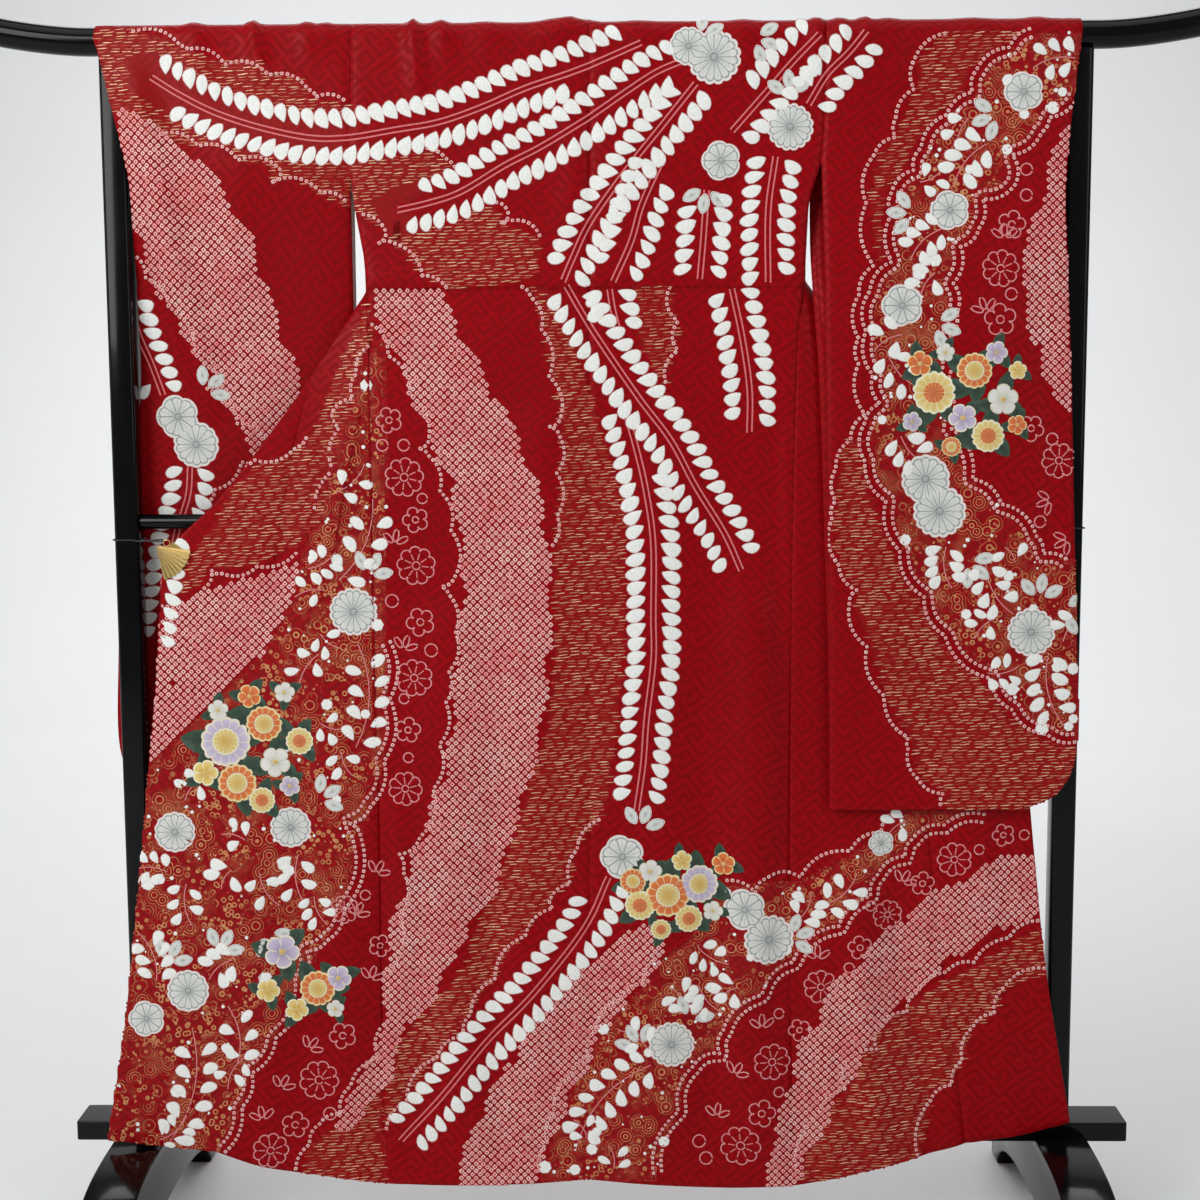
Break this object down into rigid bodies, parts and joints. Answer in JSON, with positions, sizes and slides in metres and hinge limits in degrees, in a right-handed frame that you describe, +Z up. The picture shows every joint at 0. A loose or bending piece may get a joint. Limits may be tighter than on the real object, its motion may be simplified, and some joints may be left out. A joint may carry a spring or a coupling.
{
  "type": "furisode kimono on a kimono stand",
  "caption": "Long-sleeved silk kimono spread by its outer back over a lacquered rail stand, fronts drawn aside by fan clips on cords.",
  "frame": {"origin": "on the floor, under the middle of the stand's bounding box", "axes": "+Z up; +X along the rails, to the right of someone facing the garment's outer back; -Y towards that viewer"},
  "size_m": [1.8402, 0.57, 1.7783],
  "materials": {
    "crimson_silk": "satin silk with a woven fret, resist dots, gold foil and embroidery",
    "white_lining": "plain silk",
    "black_lacquer": "polished black lacquer",
    "gold_metal": "polished",
    "black_cord": "braided cord"
  },
  "bodies": {
    "root": {"back_left": "crimson_silk", "back_right": "crimson_silk", "front_left": "crimson_silk", "front_right": "crimson_silk", "overlap_left": "crimson_silk", "overlap_right": "crimson_silk", "collar_left": "crimson_silk", "collar_right": "crimson_silk", "sleeve_left_back": "crimson_silk", "sleeve_left_front": "crimson_silk", "sleeve_right_back": "crimson_silk", "sleeve_right_front": "crimson_silk", "sleeve_right_lining": "white_lining", "top_rail": "black_lacquer", "post_left": "black_lacquer", "post_right": "black_lacquer", "middle_rail": "black_lacquer", "bottom_bar": "black_lacquer", "foot_left": "black_lacquer", "foot_right": "black_lacquer", "clip_left": "gold_metal", "fan_left": "gold_metal", "ring_left": "gold_metal", "cord_left": "black_cord", "clip_right": "gold_metal", "fan_right": "gold_metal", "ring_right": "gold_metal", "cord_right": "black_cord"}
  },
  "joints": []
}
